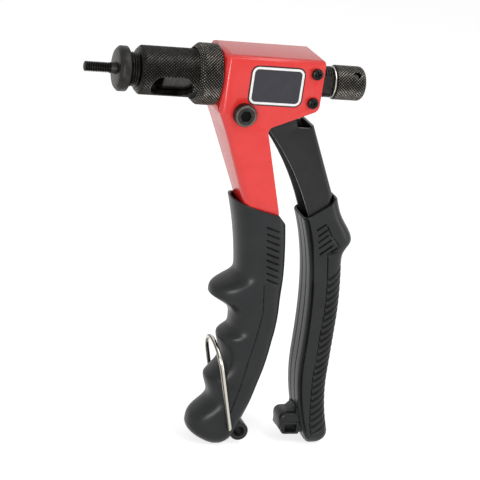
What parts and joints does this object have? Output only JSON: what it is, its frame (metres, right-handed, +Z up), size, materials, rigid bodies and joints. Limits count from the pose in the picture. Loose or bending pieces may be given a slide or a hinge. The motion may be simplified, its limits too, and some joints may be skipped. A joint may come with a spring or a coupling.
{
  "type": "rivet nut tool",
  "caption": "Hand-squeezed rivet nut tool: red folded-steel head, threaded mandrel in an adjustable nose, rear knob, two black moulded grips and a wire latch.",
  "frame": {"origin": "centre of the nosepiece's front face, on the drive axis", "axes": "+X along the drive axis from the nose to the knob, +Z up towards the top of the head, -Y towards the side with the label"},
  "size_m": [0.1806, 0.048, 0.2456],
  "materials": {
    "red_enamel": "glossy baked enamel on pressed steel",
    "label_film": "bare dark grey film with a white border",
    "black_oxide": "satin black oxide, oiled",
    "black_coat": "semi-gloss black paint",
    "cast_alloy": "as cast",
    "grey_steel": "turned steel, greyed",
    "bright_steel": "bright zinc plate",
    "nickel_wire": "nickel-plated spring wire",
    "grip_plastic": "satin moulded plastic"
  },
  "bodies": {
    "frame": {"body_shell": "red_enamel", "label_plate": "label_film", "nose_tube": "black_oxide", "rear_guide": "cast_alloy", "guide_screws": "black_oxide", "pivot_bolt": "black_oxide", "pivot_nut": "black_oxide", "pivot_bush": "bright_steel", "pivot_spacers": "bright_steel", "fixed_grip": "grip_plastic"},
    "lever": {"lever_channel": "black_coat", "moving_grip": "grip_plastic"},
    "draw_gear": {"draw_tube": "black_oxide", "trunnion_block": "black_oxide", "draw_nut": "bright_steel"},
    "drive": {"spindle": "black_oxide", "mandrel_chuck": "grey_steel", "chuck_nut": "grey_steel", "mandrel": "black_oxide", "thrust_washer": "bright_steel", "knob": "black_oxide", "knob_pin": "black_oxide"},
    "sleeve": {"adjusting_sleeve": "black_oxide"},
    "ring": {"lock_ring": "black_oxide"},
    "nose": {"nosepiece": "black_oxide"},
    "latch": {"latch_bail": "nickel_wire"}
  },
  "joints": [
    {"name": "handle_squeeze", "type": "hinge", "parent": "frame", "child": "lever", "pos_m": [0.073, 0, -0.0173], "axis": [0, 1, 0], "range_deg": [-17.5, 4.2]},
    {"name": "draw_stroke", "type": "slide", "parent": "frame", "child": "draw_gear", "axis": [1, 0, 0], "range_m": [-0.0054, 0.0013]},
    {"name": "knob_spin", "type": "hinge", "parent": "draw_gear", "child": "drive", "pos_m": [0.1, 0, 0], "axis": [1, 0, 0], "continuous": true},
    {"name": "sleeve_turn", "type": "hinge", "parent": "frame", "child": "sleeve", "pos_m": [0.03, 0, 0], "axis": [1, 0, 0], "continuous": true},
    {"name": "lock_ring_turn", "type": "hinge", "parent": "frame", "child": "ring", "pos_m": [0.052, 0, 0], "axis": [1, 0, 0], "continuous": true},
    {"name": "nosepiece_turn", "type": "hinge", "parent": "sleeve", "child": "nose", "pos_m": [0.005, 0, 0], "axis": [1, 0, 0], "continuous": true},
    {"name": "latch_swing", "type": "hinge", "parent": "frame", "child": "latch", "pos_m": [0.095, 0, -0.2156], "axis": [0, 1, 0], "range_deg": [-234, 0]}
  ],
  "couplings": [
    {"joint": "draw_stroke", "follows": "handle_squeeze", "m_per_rad": 0.01751}
  ]
}
